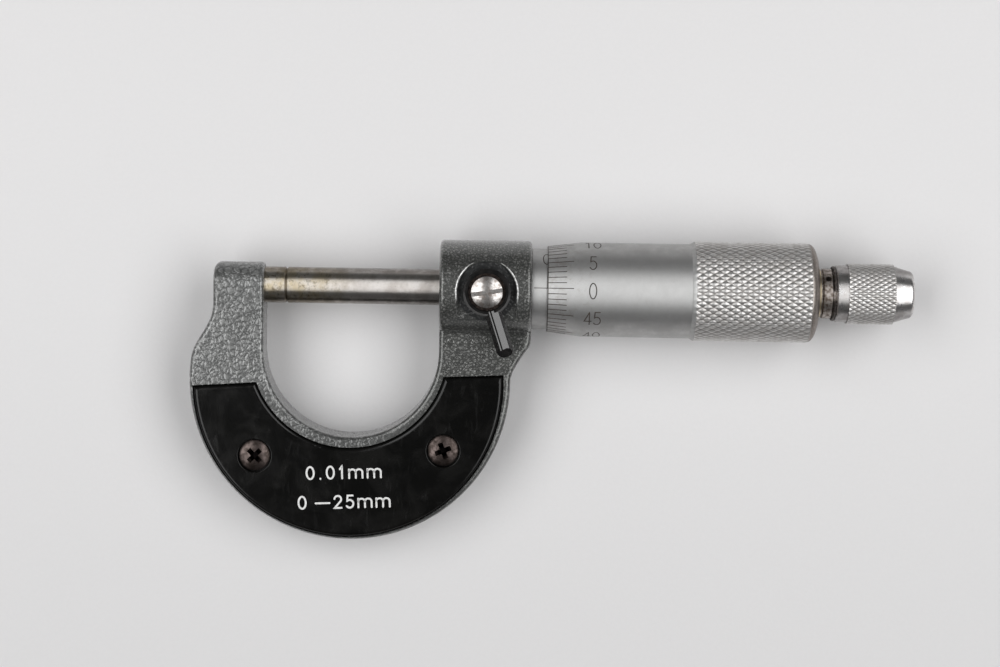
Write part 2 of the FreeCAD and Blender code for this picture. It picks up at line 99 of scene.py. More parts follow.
thimble_start = thimble_low.x
thimble_end = thimble_high.x
knurl_r = thimble_high.z
barrel_r = 8.5
bevel_edge_r = 7.7
bevel_length = 6.15
grip_start = thimble_start + 25.75
grip_chamfer = 0.75          # before the knurl
grip_end = thimble_end - 1.7
knurl_depth = 0.2
knurls_around = 46
knurl_axial_pitch = 2.0
divisions = 50               # on the bevel, one for each 0.01 mm
scale_length = 25            # of the sleeve, mm

knob_band_r = 5.12
knob_grip_r = knob_high.z
knob_grip_start = knob_low.x + 2.15
knob_grip_end = knob_high.x - 3.55
knob_knurl_depth = 0.16
knob_knurls_around = 38
knob_knurl_axial_pitch = 1.55


# ---------------------------------------------------------------- materials
class Finish:
    """A procedural material over the object's own coordinates, in millimetres."""

    def __init__(self, name, **values):
        self.material = bpy.data.materials.new(name)
        self.material.use_nodes = True
        self.tree = self.material.node_tree
        self.shader = self.tree.nodes["Principled BSDF"]
        for socket, value in values.items():
            self.shader.inputs[socket.replace("_", " ")].default_value = value
        coordinates = self.tree.nodes.new("ShaderNodeTexCoord").outputs["Object"]
        scaled = self.node("ShaderNodeVectorMath", {0: coordinates, "Scale": 1 / MM},
                           operation="SCALE")
        self.place = scaled.outputs["Vector"]

    def node(self, kind, inputs=(), **settings):
        made = self.tree.nodes.new(kind)
        for name, value in settings.items():
            setattr(made, name, value)
        for name, value in dict(inputs).items():
            self.feed(made.inputs[name], value)
        return made

    def feed(self, socket, value):
        """Links a socket, or sets its value; a colour is three numbers."""
        if isinstance(value, bpy.types.NodeSocket):
            self.tree.links.new(value, socket)
        elif socket.type == "RGBA":
            socket.default_value = (*value, 1.0)
        else:
            socket.default_value = value

    def set(self, name, value):
        self.feed(self.shader.inputs[name], value)

    def stretched(self, x=1.0, y=1.0, z=1.0):
        """The place, drawn out so that a pattern is x, y and z times as long along each axis."""
        return self.node("ShaderNodeVectorMath", {0: self.place, 1: (1 / x, 1 / y, 1 / z)},
                         operation="MULTIPLY").outputs["Vector"]

    def warped(self, size, reach):
        """The place, pushed about by up to half of reach millimetres."""
        push = self.node("ShaderNodeTexNoise",
                         {"Vector": self.place, "Scale": 1 / size, "Detail": 2.0})
        shift = self.node("ShaderNodeVectorMath", {0: push.outputs["Color"], "Scale": reach},
                          operation="SCALE")
        return self.node("ShaderNodeVectorMath", {0: self.place, 1: shift.outputs["Vector"]},
                         operation="ADD").outputs["Vector"]

    def noise(self, size, detail=2.0, roughness=0.5, place=None, distortion=0.0):
        """Noise from 0 to 1 with features of about size millimetres."""
        return self.node("ShaderNodeTexNoise", {
            "Vector": place or self.place, "Scale": 1 / size, "Detail": detail,
            "Roughness": roughness, "Distortion": distortion}).outputs["Fac"]

    def cells(self, size, place):
        """Distance from the edges of cells of about size millimetres, in cell sizes."""
        made = self.node("ShaderNodeTexVoronoi", feature="DISTANCE_TO_EDGE")
        for name, value in (("Vector", place), ("Scale", 1 / size)):
            self.feed(made.inputs[name], value)
        return made.outputs["Distance"]

    def math(self, operation, a, b=0.0):
        return self.node("ShaderNodeMath", {0: a, 1: b}, operation=operation).outputs["Value"]

    def apart(self, a, b):
        """How far a is from b."""
        return self.math("ABSOLUTE", self.math("SUBTRACT", a, b))

    def spread(self, value, low, high, out_low=0.0, out_high=1.0):
        """Value from low..high, clamped and smoothed, to out_low..out_high."""
        return self.node("ShaderNodeMapRange", {
            "Value": value, "From Min": low, "From Max": high,
            "To Min": out_low, "To Max": out_high},
            interpolation_type="SMOOTHSTEP").outputs["Result"]

    def mix(self, factor, a, b):
        """Colour a where factor is 0, b where it is 1."""
        made = self.node("ShaderNodeMix", data_type="RGBA")
        sockets = {s.identifier: s for s in (*made.inputs, *made.outputs)}
        for name, value in (("Factor_Float", factor), ("A_Color", a), ("B_Color", b)):
            self.feed(sockets[name], value)
        return sockets["Result_Color"]

    def along(self, axis):
        return self.node("ShaderNodeSeparateXYZ", {0: self.place}).outputs[axis]

    def radius(self):
        """Distance from the X axis, in millimetres."""
        flat = self.node("ShaderNodeVectorMath", {0: self.place, 1: (0, 1, 1)},
                         operation="MULTIPLY")
        return self.node("ShaderNodeVectorMath", {0: flat.outputs["Vector"]},
                         operation="LENGTH").outputs["Value"]

    def lift(self):
        """Distance from the frame's middle plane, in millimetres."""
        made = self.node("ShaderNodeVectorMath", {0: self.place, 1: tuple(lock_axis)},
                         operation="DOT_PRODUCT")
        return self.math("ABSOLUTE", made.outputs["Value"])

    def from_lock(self):
        """Distance from the lock's axis, in millimetres."""
        arm = self.node("ShaderNodeVectorMath", {0: self.place, 1: (lock_x, 0, 0)},
                        operation="SUBTRACT")
        across = self.node("ShaderNodeVectorMath", {0: arm.outputs["Vector"], 1: tuple(lock_axis)},
                           operation="CROSS_PRODUCT")
        return self.node("ShaderNodeVectorMath", {0: across.outputs["Vector"]},
                         operation="LENGTH").outputs["Value"]

    def flank(self, radius, strength):
        """Painted shade: from 0 on top of a bar along X to strength at its sides, unevenly."""
        aside = self.spread(self.math("ABSOLUTE", self.along("Y")), 0.5 * radius, 0.82 * radius)
        patchy = self.spread(self.noise(1.6, 4.0, 0.6), 0.25, 0.6, 0.6 * strength, strength)
        return self.math("MULTIPLY", aside, patchy)

    def turned(self):
        """Fine grooves round the X axis, so that highlights stretch along it."""
        tangent = self.node("ShaderNodeTangent", direction_type="RADIAL", axis="X")
        self.tree.links.new(tangent.outputs["Tangent"], self.shader.inputs["Tangent"])
        self.shader.inputs["Anisotropic Rotation"].default_value = 0.25

    def bump(self, *layers, socket="Normal"):
        """Layers are (height from 0 to 1, depth in millimetres)."""
        normal = None
        for height, depth in layers:
            inputs = {"Height": height, "Distance": depth * MM, "Strength": 1.0}
            if normal is not None:
                inputs["Normal"] = normal
            normal = self.node("ShaderNodeBump", inputs).outputs["Normal"]
        self.tree.links.new(normal, self.shader.inputs[socket])


def pocket_wear(f, shade):
    """Painted shade on the milled lock pocket's floor and wall; its rubbed bare metal rim, partly
    painted highlight.
    """
    above_floor = f.apart(f.lift(), pocket_floor)
    beside = f.apart(f.along("X"), lock_x)
    on_floor = f.math("MULTIPLY", f.spread(above_floor, 0.03, 0.1, 0.55, 0.0),
                      f.spread(beside, pocket_r - 0.1, pocket_r + 0.1, 1.0, 0.0))
    # painted shade on the pocket's floor
    shade = f.mix(on_floor, shade, (0.03, 0.031, 0.03))
    # painted shade over the pocket's floor and wall near the lock
    near_axis = f.spread(f.from_lock(), pocket_r - 0.1, pocket_r + 0.15, 1.0, 0.0)
    in_pocket = f.math("MULTIPLY", near_axis, f.spread(f.lift(), 5.5, 6.5))
    shade = f.mix(f.math("MULTIPLY", in_pocket, 0.85), shade, (0.02, 0.021, 0.022))
    # pale bare metal on the rubbed rim, partly a painted highlight along it
    from_rim = f.apart(f.from_lock(), pocket_r + 0.2)
    bare_rim_and_highlight = f.math("MULTIPLY", f.spread(from_rim, 0.08, 0.26, 1.0, 0.0),
                  f.spread(f.lift(), 7.3, 7.6))
    bare_rim_and_highlight = f.math("MULTIPLY", bare_rim_and_highlight, f.spread(f.noise(0.5, 3.0), 0.35, 0.6, 0.3, 1.0))
    return f.mix(f.math("MULTIPLY", bare_rim_and_highlight, 0.8), shade, (0.85, 0.85, 0.84))


def frame_paint():
    """Grey hammered enamel with metal flake and a glossy top coat, finer and darker on the head."""
    f = Finish("frame_paint", Metallic=0.6, Coat_Weight=0.9, Coat_Roughness=0.12)
    place = f.warped(0.7, 0.8)
    pillows = f.spread(f.cells(1.05, place), 0.0, 0.32)
    grains = f.math("MULTIPLY", f.spread(f.cells(0.6, place), 0.0, 0.4),
                    f.spread(f.noise(0.5, 3.0, 0.65), 0.3, 0.62))
    flakes = f.noise(0.2, 3.0, 0.75)
    fine = f.spread(f.along("X"), 10.0, 28.0)
    coarse = f.math("MULTIPLY", pillows, f.math("SUBTRACT", 1.0, fine))
    height = f.math("ADD", coarse, f.math("MULTIPLY", grains, fine))
    relief = f.math("ADD", coarse, f.math("MULTIPLY", grains, f.math("MULTIPLY", fine, 0.5)))
    light = f.mix(height, (0.085, 0.088, 0.086), (0.235, 0.239, 0.235))
    light = f.mix(f.spread(flakes, 0.38, 0.7, 0.0, 0.5), light, (0.46, 0.46, 0.455))
    dark = f.mix(height, (0.05, 0.052, 0.049), (0.27, 0.272, 0.262))
    dark = f.mix(f.spread(flakes, 0.45, 0.7, 0.0, 0.4), dark, (0.3, 0.3, 0.28))
    shade = f.mix(fine, light, dark)
    handled = f.spread(f.noise(5.0, 3.0), 0.35, 0.7, 0.0, 0.35)
    shade = f.mix(handled, shade, (0.1, 0.102, 0.1))
    # painted shade, darker towards the bottom of the bow
    lower_bow_shade = f.spread(f.along("Y"), -30.0, -14.0, 0.6, 0.0)
    shade = f.mix(lower_bow_shade, shade, (0.08, 0.082, 0.08))
    f.set("Base Color", pocket_wear(f, shade))
    f.set("Roughness", f.spread(flakes, 0.3, 0.7, 0.4, 0.28))
    f.bump((relief, 0.06), (flakes, 0.014))
    f.bump((relief, 0.05), (f.noise(2.2, 2.0), 0.03), socket="Coat Normal")
    return f.material


def cover_plastic():
    """Black moulded plastic, satin, with smeared handling marks, scratches and dust."""
    f = Finish("cover_plastic", Specular_IOR_Level=0.36)
    grain = f.noise(0.14, 2.0)
    hazy = f.noise(5.0, 4.0, 0.6, distortion=0.6)
    wiped = f.noise(2.2, 4.0, 0.7, place=f.stretched(0.6, 2.4, 1), distortion=1.2)
    smear = f.spread(wiped, 0.55, 0.7)
    dust = f.spread(f.noise(0.3, 4.0, 0.75), 0.7, 0.75)
    scored = f.noise(0.5, 2.0, place=f.stretched(5, 0.4, 1), distortion=1.0)
    scratches = f.spread(scored, 0.72, 0.77)
    shade = f.mix(f.spread(hazy, 0.4, 0.7), (0.0016, 0.0016, 0.0014), (0.004, 0.0038, 0.0034))
    shade = f.mix(f.math("MULTIPLY", smear, 0.4), shade, (0.009, 0.009, 0.0085))
    f.set("Base Color", f.mix(f.math("MULTIPLY", dust, 0.35), shade, (0.1, 0.1, 0.095)))
    f.set("Roughness", f.math("ADD", f.spread(hazy, 0.35, 0.7, 0.18, 0.25),
                              f.math("MULTIPLY", f.math("ADD", scratches, smear), 0.06)))
    f.bump((grain, 0.002), (scratches, 0.002), (f.noise(3.0, 2.0), 0.015))
    return f.material


def steel(name, light, dark, rough, blotch=2.0, grain_depth=0.004, lathe=0.0, recess=None):
    """Bare or browned steel with a patchy film; lathe is how far turning stretches its highlights.

    Below the height of recess over the frame's middle plane it is painted black, as painted shade
    in the recesses."""
    f = Finish(name, Metallic=1.0, Anisotropic=lathe)
    if lathe:
        f.turned()
    film = f.noise(blotch, 4.0, 0.62)
    pits = f.noise(0.25, 4.0, 0.7)
    shade = f.mix(f.spread(film, 0.38, 0.64), light, dark)
    shade = f.mix(f.spread(pits, 0.55, 0.7, 0.0, 0.5), shade, dark)
    if recess is not None:
        # painted shade: black below the recess height
        below = f.spread(f.lift(), recess - 0.3, recess, 1.0, 0.0)
        shade = f.mix(below, shade, (0.006, 0.005, 0.005))
    f.set("Base Color", shade)
    f.set("Roughness", f.math("ADD", f.spread(film, 0.3, 0.7, rough, rough * 1.4),
                              f.spread(pits, 0.45, 0.7, 0.0, 0.08)))
    f.bump((pits, grain_depth))
    return f.material


def ground_steel():
    """Ground spindle steel with dried oil, brown spots and tide marks, worst beside the faces."""
    f = Finish("ground_steel", Metallic=1.0, Anisotropic=0.88)
    f.turned()
    film = f.noise(3.0, 4.0, 0.62)
    from_face = f.math("ABSOLUTE", f.along("X"))
    near = f.spread(from_face, 3.0, 14.0, 1.0, 0.0)
    shade = f.mix(f.spread(film, 0.35, 0.68), (0.7, 0.67, 0.64), (0.5, 0.465, 0.435))
    oil = f.math("MULTIPLY", near, f.spread(film, 0.35, 0.65, 0.25, 0.8))
    shade = f.mix(oil, shade, (0.56, 0.47, 0.3))
    tide = f.spread(f.apart(f.noise(2.0, 2.0, 0.5), 0.52), 0.0, 0.035, 1.0, 0.0)
    tide = f.math("MULTIPLY", tide, f.spread(f.noise(0.8, 3.0), 0.4, 0.6))
    shade = f.mix(f.math("MULTIPLY", f.math("MULTIPLY", tide, near), 0.6), shade, (0.2, 0.16, 0.1))
    spots = f.spread(f.noise(0.45, 5.0, 0.75), 0.58, 0.68)
    spotted = f.math("MULTIPLY", spots, f.math("ADD", f.math("MULTIPLY", near, 0.35), 0.45))
    shade = f.mix(spotted, shade, (0.16, 0.125, 0.1))
    # painted shade darkening the spindle's sides
    shade = f.mix(f.flank(spindle_r, 0.78), shade, (0.09, 0.077, 0.068))
    blotches = f.math("MULTIPLY", f.spread(f.noise(1.1, 5.0, 0.7), 0.5, 0.66), near)
    shade = f.mix(f.math("MULTIPLY", blotches, 0.65), shade, (0.15, 0.12, 0.08))
    # painted shade on the measuring faces' chamfers, dulling the highlight they catch
    chamfer_shade = f.math("MULTIPLY", f.spread(from_face, 0.08, 0.3, 0.75, 0.0),
                  f.spread(f.radius(), spindle_r - 0.35, spindle_r - 0.15))
    shade = f.mix(chamfer_shade, shade, (0.13, 0.1, 0.065))
    f.set("Base Color", shade)
    f.set("Roughness", f.math("ADD", f.spread(film, 0.3, 0.7, 0.32, 0.37),
                              f.math("MULTIPLY", f.math("ADD", spots, blotches), 0.1)))
    f.bump((f.noise(0.06, 2.0, place=f.stretched(1, 12, 12)), 0.0012),
           (f.noise(0.3, 4.0, 0.7), 0.005), (tide, 0.003))
    return f.material


def satin_chrome(name, front=None):
    """Satin chrome: fine grain, cloudy from handling; dirt and painted gap shadow at the front
    edge, if given.
    """
    f = Finish(name, Metallic=1.0, Anisotropic=0.35)
    f.turned()
    grain = f.noise(0.1, 3.0, 0.7)
    cloud = f.noise(3.5, 4.0, 0.6)
    shade = f.mix(f.spread(cloud, 0.3, 0.7), (0.6, 0.6, 0.595), (0.545, 0.545, 0.54))
    shade = f.mix(f.spread(grain, 0.45, 0.75, 0.0, 0.3), shade, (0.36, 0.36, 0.36))
    smear = f.spread(f.noise(1.2, 4.0, 0.65), 0.5, 0.68)
    strength = 0.07
    if front is not None:
        # dirt and painted shadow of the gap along the front edge
        edge = f.spread(f.along("X"), front + 0.05, front + 0.25, 0.9, 0.0)
        shade = f.mix(edge, shade, (0.05, 0.045, 0.04))
        strength = f.spread(f.along("X"), front + 3.0, front + 10.0, 0.3, 0.05)
    shade = f.mix(f.math("MULTIPLY", smear, strength), shade, (0.3, 0.26, 0.23))
    # painted shade darkening the barrel's sides
    shade = f.mix(f.flank(barrel_r, 0.5), shade, (0.22, 0.215, 0.21))
    f.set("Base Color", shade)
    f.set("Roughness", f.spread(cloud, 0.3, 0.7, 0.45, 0.5))
    f.bump((grain, 0.008))
    return f.material


def knurled_steel(name, crest_r, depth, tail=None):
    """Plated knurl: bright crests, darker in the grooves, and brown stain past the tail position.
    """
    f = Finish(name, Metallic=1.0)
    grain = f.noise(0.12, 3.0, 0.7)
    film = f.noise(1.8, 4.0, 0.62)
    shade = f.mix(f.spread(film, 0.35, 0.68), (0.72, 0.71, 0.7), (0.6, 0.585, 0.57))
    # darker down in the grooves
    groove_darkening = f.spread(f.radius(), crest_r - depth, crest_r - 0.5 * depth, 0.62, 0.0)
    shade = f.mix(groove_darkening, shade, (0.15, 0.13, 0.115))
    if tail is not None:
        stained = f.spread(f.along("X"), tail - 0.25, tail + 0.25)
        brown = f.mix(f.spread(grain, 0.4, 0.65), (0.36, 0.325, 0.3), (0.15, 0.125, 0.108))
        shade = f.mix(stained, shade, brown)
    f.set("Base Color", shade)
    f.set("Roughness", f.spread(film, 0.3, 0.7, 0.4, 0.5))
    f.bump((grain, 0.006))
    return f.material


def knob_chrome():
    """Polished plate with faint turning lines, light scuffs and a thin brown film in patches."""
    f = Finish("knob_chrome", Metallic=1.0, Anisotropic=0.6)
    f.turned()
    scuffs = f.noise(0.3, 4.0, 0.7)
    cloud = f.noise(1.4, 4.0, 0.6)
    shade = f.mix(f.spread(cloud, 0.35, 0.7), (0.77, 0.76, 0.755), (0.6, 0.575, 0.56))
    # painted shade darkening the sides of the band and cone
    shade = f.mix(f.flank(knob_band_r, 0.85), shade, (0.16, 0.148, 0.145))
    f.set("Base Color", f.mix(f.spread(scuffs, 0.56, 0.7, 0.0, 0.5), shade, (0.3, 0.27, 0.25)))
    f.set("Roughness", f.spread(cloud, 0.3, 0.7, 0.25, 0.34))
    f.bump((f.noise(0.08, 2.0, place=f.stretched(1, 12, 12)), 0.001), (scuffs, 0.003))
    return f.material


def brass():
    """Turned brass, dulled to a pale yellow-grey."""
    f = Finish("brass", Metallic=1.0)
    cloud = f.noise(1.5, 4.0, 0.6)
    f.set("Base Color", f.mix(f.spread(cloud, 0.35, 0.7), (0.62, 0.53, 0.37), (0.4, 0.33, 0.23)))
    f.set("Roughness", f.spread(cloud, 0.3, 0.7, 0.28, 0.45))
    f.bump((f.noise(0.15, 3.0), 0.003))
    return f.material


def lever_lacquer():
    """Thick black lacquer, glossy, rubbed and dusty in places."""
    f = Finish("lever_lacquer", IOR=1.5, Coat_Weight=1.0, Coat_Roughness=0.06, Coat_IOR=1.55)
    cloud = f.noise(1.2, 3.0)
    dust = f.spread(f.noise(0.3, 4.0, 0.75), 0.64, 0.72)
    shade = f.mix(f.spread(cloud, 0.3, 0.75), (0.003, 0.003, 0.003), (0.01, 0.009, 0.0085))
    f.set("Base Color", f.mix(f.math("MULTIPLY", dust, 0.25), shade, (0.09, 0.085, 0.08)))
    f.set("Roughness", f.spread(cloud, 0.3, 0.7, 0.14, 0.22))
    f.bump((f.noise(0.2, 3.0), 0.003))
    return f.material


def engraved_ink():
    """Brown-black filling of the engraved scales."""
    f = Finish("engraved_ink")
    patch = f.noise(0.35, 3.0, 0.6)
    shade = f.mix(f.spread(patch, 0.3, 0.75), (0.022, 0.017, 0.014), (0.085, 0.068, 0.056))
    f.set("Base Color", shade)
    f.set("Roughness", f.spread(patch, 0.3, 0.7, 0.45, 0.7))
    f.bump((patch, 0.004))
    return f.material


def white_ink():
    """White pad-printed ink, a little uneven."""
    f = Finish("white_ink")
    patch = f.noise(0.25, 3.0, 0.6)
    f.set("Base Color", f.mix(f.spread(patch, 0.3, 0.8), (0.86, 0.86, 0.85), (0.6, 0.6, 0.59)))
    f.set("Roughness", f.spread(patch, 0.3, 0.7, 0.4, 0.6))
    f.bump((patch, 0.004))
    return f.material


def floor_paper():
    """Matt white paper, with painted light: a touch brighter behind the micrometer."""
    f = Finish("floor_paper", Specular_IOR_Level=0.3)
    fibre = f.noise(0.7, 4.0, 0.6)
    near = f.mix(fibre, (0.705, 0.699, 0.702), (0.735, 0.729, 0.732))
    far = f.mix(fibre, (0.785, 0.777, 0.78), (0.815, 0.807, 0.81))
    # painted light, brighter behind the micrometer
    f.set("Base Color", f.mix(f.spread(f.along("Y"), -90.0, 40.0), near, far))
    f.set("Roughness", f.spread(f.noise(4.0, 3.0), 0.3, 0.7, 0.5, 0.62))
    f.bump((fibre, 0.02))
    return f.material


SLEEVE_CHROME = satin_chrome("sleeve_chrome")
THIMBLE_CHROME = satin_chrome("thimble_chrome", thimble_start)
THIMBLE_KNURL = knurled_steel("thimble_knurl", knurl_r, knurl_depth, grip_end)
KNOB_CHROME = knob_chrome()
KNOB_KNURL = knurled_steel("knob_knurl", knob_grip_r, knob_knurl_depth)
ENGRAVED_INK = engraved_ink()
WHITE_INK = white_ink()
PLASTIC = cover_plastic()
GROUND = ground_steel()
PLAIN = steel("plain_steel", (0.5, 0.49, 0.47), (0.36, 0.345, 0.33), rough=0.3)
BRASS = brass()
SCREW_STEEL = steel("browned_steel", (0.12, 0.096, 0.089), (0.042, 0.033, 0.029), rough=0.3,
                    blotch=1.1, recess=screw_recess)
WASHER_STEEL = steel("rusted_steel", (0.06, 0.047, 0.042), (0.016, 0.013, 0.012), rough=0.35,
                     blotch=0.6)
COLLAR_STEEL = steel("stained_steel", (0.46, 0.42, 0.39), (0.14, 0.11, 0.09), rough=0.38,
                     blotch=0.7, grain_depth=0.008, lathe=0.5)
CAP_STEEL = steel("worn_plate", (0.66, 0.64, 0.625), (0.3, 0.265, 0.245), rough=0.26,
                  blotch=0.9, grain_depth=0.006)
WIRE = steel("black_wire", (0.17, 0.15, 0.14), (0.05, 0.043, 0.04), rough=0.35, blotch=0.8)

FINISHES = {
    "frame": frame_paint(),
    "front_cover": PLASTIC,
    "back_cover": PLASTIC,
    "cover_screws": SCREW_STEEL,
    "anvil": GROUND,
    "anvil_tip": GROUND,
    "spindle_tip": GROUND,
    "spindle": GROUND,
    "threaded_bush": PLAIN,
    "adjusting_nut": PLAIN,
    "thimble_connector": PLAIN,
    "sleeve": SLEEVE_CHROME,
    "thimble": THIMBLE_CHROME,
    "tail_washer": BRASS,
    "ratchet_stem": COLLAR_STEEL,
    "snap_ring": WIRE,
    "ratchet_knob": KNOB_CHROME,
    "knob_bush": PLAIN,
    "clutch_disc": PLAIN,
    "clutch_spring": WIRE,
    "lock_pad": BRASS,
    "lock_screw": PLAIN,
    "lock_lever": lever_lacquer(),
    "lock_washer": WASHER_STEEL,
    "lock_cap_screw": CAP_STEEL,
}


# ---------------------------------------------------------------- mesh helpers
def finished(name, shell, materials, body, smooth_angle=35.0, choose=None):
    """An object from a bmesh in millimetres, shaded smooth up to an angle, riding on a body.

    choose(face) gives the index of a face's material, where there are several."""
    mesh = bpy.data.meshes.new(name)
    bmesh.ops.recalc_face_normals(shell, faces=shell.faces)
    if choose:
        for face in shell.faces:
            face.material_index = choose(face)
    shell.transform(Matrix.Scale(MM, 4))
    shell.to_mesh(mesh)
    shell.free()
    for material in materials:
        mesh.materials.append(material)
    mesh.shade_smooth()
    mesh.set_sharp_from_angle(angle=math.radians(smooth_angle))
    made = bpy.data.objects.new(name, mesh)
    bpy.context.scene.collection.objects.link(made)
    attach(made, body)
    return made


def round_point(x, angle, radius):
    """A point at a turn from +Z towards +Y about the X axis."""
    return Vector((x, radius * math.sin(angle), radius * math.cos(angle)))


# across one diamond of a knurl, from groove to groove: place and height, both from 0 to 1
KNURL_STEPS = [(0.0, 0.0), (0.14, 0.36), (0.34, 0.8), (0.5, 1.0), (0.66, 0.8), (0.86, 0.36)]
KNURL_SMOOTH = 32            # degrees up to which a knurled mesh is shaded smooth


def knurled_band(start, end, crest_r, depth, around, axial_pitch):
    """Open band of diamond knurl, meshed along its grooves and trimmed at both ends."""
    shell = bmesh.new()
    steps = len(KNURL_STEPS)
    points = {}

    def across(index):
        whole, part = divmod(index, steps)
        place, height = KNURL_STEPS[part]
        return whole + place, height

    def corner(p, q):
        turns = p // (around * steps)
        p -= turns * around * steps
        q += turns * around * steps
        if (p, q) not in points:
            (u, high_u), (v, high_v) = across(p), across(q)
            angle = math.pi * (u - v) / around
            radius = crest_r - depth * (1 - min(high_u, high_v))
            x = start + (u + v) * axial_pitch / 2
            points[p, q] = shell.verts.new(round_point(x, angle, radius))
        return points[p, q]

    rows = math.ceil(2 * (end - start) / axial_pitch) + 2
    for p in range(around * steps):
        for q in range(-p - 2 * steps, rows * steps - p):
            shell.faces.new([corner(p, q), corner(p + 1, q),
                             corner(p + 1, q + 1), corner(p, q + 1)])
    for x, outward in ((start, -1), (end, 1)):
        bmesh.ops.bisect_plane(shell, geom=shell.verts[:] + shell.edges[:] + shell.faces[:],
                               dist=1e-4, plane_co=(x, 0, 0), plane_no=(outward, 0, 0),
                               clear_outer=True)
    return shell


def turned_end(shell, x, profile):
    """Carries a knurled band's rim at x through circles at (x, radius) points.

    A radius may also be a function of the turn, for a rim that isn't round. The last rim is
    returned."""
    rim = [e for e in shell.edges
           if e.is_boundary and all(abs(v.co.x - x) < 1e-3 for v in e.verts)]
    for place, radius in profile:
        made = bmesh.ops.extrude_edge_only(shell, edges=rim)["geom"]
        for vert in (g for g in made if isinstance(g, bmesh.types.BMVert)):
            angle = math.atan2(vert.co.y, vert.co.z)
            vert.co = round_point(place, angle, radius(angle) if callable(radius) else radius)
        rim = [g for g in made if isinstance(g, bmesh.types.BMEdge) and g.is_boundary]
    return rim


def rounded(x, r, dx, dr, angles):
    """Points of a quarter-round end: from radius r + dr at x to radius r at x + dx."""
    turns = [math.radians(a) for a in angles]
    return [(x + dx * math.sin(t), r + dr * math.cos(t)) for t in turns]


def arc_points(cx, cy, rx, ry, start, end, steps=16):
    """Points of an elliptical arc, angles in degrees."""
    turns = [math.radians(start + (end - start) * i / steps) for i in range(steps + 1)]
    return [(cx + rx * math.cos(t), cy + ry * math.sin(t)) for t in turns]


# single-stroke characters in a box 1 wide and 1 high
STROKES = {
    "0": [arc_points(0.5, 0.5, 0.5, 0.5, 90, 450, 32)],
    "1": [[(0.18, 0.76), (0.6, 1.0), (0.6, 0.0)]],
    "2": [arc_points(0.5, 0.72, 0.47, 0.28, 175, -38) + [(0.03, 0.0), (1.0, 0.0)]],
    "3": [arc_points(0.47, 0.75, 0.43, 0.25, 160, -90),
          arc_points(0.47, 0.25, 0.5, 0.25, 90, -160)],
    "4": [[(0.74, 0.0), (0.74, 1.0), (0.0, 0.3), (1.0, 0.3)]],
    "5": [[(0.92, 1.0), (0.2, 1.0)] + arc_points(0.46, 0.32, 0.52, 0.32, 128, -145)],
    "m": [[(0.0, 0.0), (0.0, 0.72)],
          arc_points(0.25, 0.47, 0.25, 0.25, 180, 0, 12) + [(0.5, 0.0)],
          arc_points(0.75, 0.47, 0.25, 0.25, 180, 0, 12) + [(1.0, 0.0)]],
    ".": [[(0.5, 0.0), (0.5, 0.02)]],
    "-": [[(0.0, 0.42), (1.0, 0.42)]],
    " ": [],
}
LONGEST_STEP = 0.25          # of a stroke, mm, so that it follows a round surface
CAP_STEPS = 6                # of the half circle at a stroke's end


def divided(path):
    """The path with its long runs cut into short steps."""
    points = [Vector(path[0])]
    for target in map(Vector, path[1:]):
        origin = points[-1]
        count = max(1, math.ceil((target - origin).length / LONGEST_STEP))
        points += [origin.lerp(target, i / count) for i in range(1, count + 1)]
    return points


def add_ribbon(shell, path, width, thickness, place):
    """A flat stroke with round ends along path; place(x, y, lift) gives each point's position."""
    path = divided(path)
    closed = (path[0] - path[-1]).length < 1e-6
    last = len(path) - 1
    left, right = [], []
    for i, point in enumerate(path):
        before = path[i - 1] if i else path[last - 1] if closed else None
        after = path[i + 1] if i < last else path[1] if closed else None
        run_in = (point - before if before else after - point).normalized()
        run_out = (after - point if after else point - before).normalized()
        run = (run_in + run_out).normalized()
        side = Vector((-run.y, run.x)) * width / 2 / max(0.5, run.dot(run_in))
        left.append(point + side)
        right.append(point - side)
    if closed:
        edges = [left[:-1], right[:-1]]
    else:
        edges = [left + round_cap(path[last], left[last])
                 + right[::-1] + round_cap(path[0], right[0])]
    levels = [[[shell.verts.new(place(p.x, p.y, lift)) for p in edge] for edge in edges]
              for lift in (thickness, -thickness)]
    if closed:
        for (outer, inner), flip in zip(levels, (False, True)):
            join_loops(shell, outer, inner, flip)
    else:
        count, caps = len(left), CAP_STEPS - 1
        for (loop,), flip in zip(levels, (False, True)):
            rights = loop[count + caps:2 * count + caps][::-1]
            for i in range(count - 1):
                add_face(shell, (loop[i], rights[i], rights[i + 1], loop[i + 1]), flip)
            far_cap = (loop[count - 1], *loop[count:count + caps], rights[count - 1])
            near_cap = (rights[0], *loop[2 * count + caps:], loop[0])
            for cap in (far_cap, near_cap):
                add_face(shell, cap[::-1], flip)
    for upper, lower in zip(*levels):
        join_loops(shell, upper, lower, False)


def round_cap(centre, corner):
    """Points of the half circle about centre that follow corner, turning clockwise."""
    arm = corner - centre
    turns = [-math.pi * i / CAP_STEPS for i in range(1, CAP_STEPS)]
    return [centre + Vector((arm.x * math.cos(t) - arm.y * math.sin(t),
                             arm.x * math.sin(t) + arm.y * math.cos(t))) for t in turns]


def add_face(shell, corners, flip):
    shell.faces.new(corners[::-1] if flip else corners)


def join_loops(shell, a, b, flip):
    """A ring of faces between two closed loops of vertices."""
    for i in range(len(a)):
        j = (i + 1) % len(a)
        add_face(shell, (a[i], b[i], b[j], a[j]), flip)


def add_text(shell, text, left, base, height, width, gap, stroke, thickness, place, widths=()):
    """Writes text from left along x, its base line at y = base."""
    widths = dict(widths)
    x = left
    for character in text:
        wide = widths.get(character, width)
        for path in STROKES[character]:
            add_ribbon(shell, [(x + px * wide, base + py * height) for px, py in path],
                       stroke, thickness, place)
        x += wide + gap


def text_width(text, width, gap):
    return len(text) * width + (len(text) - 1) * gap


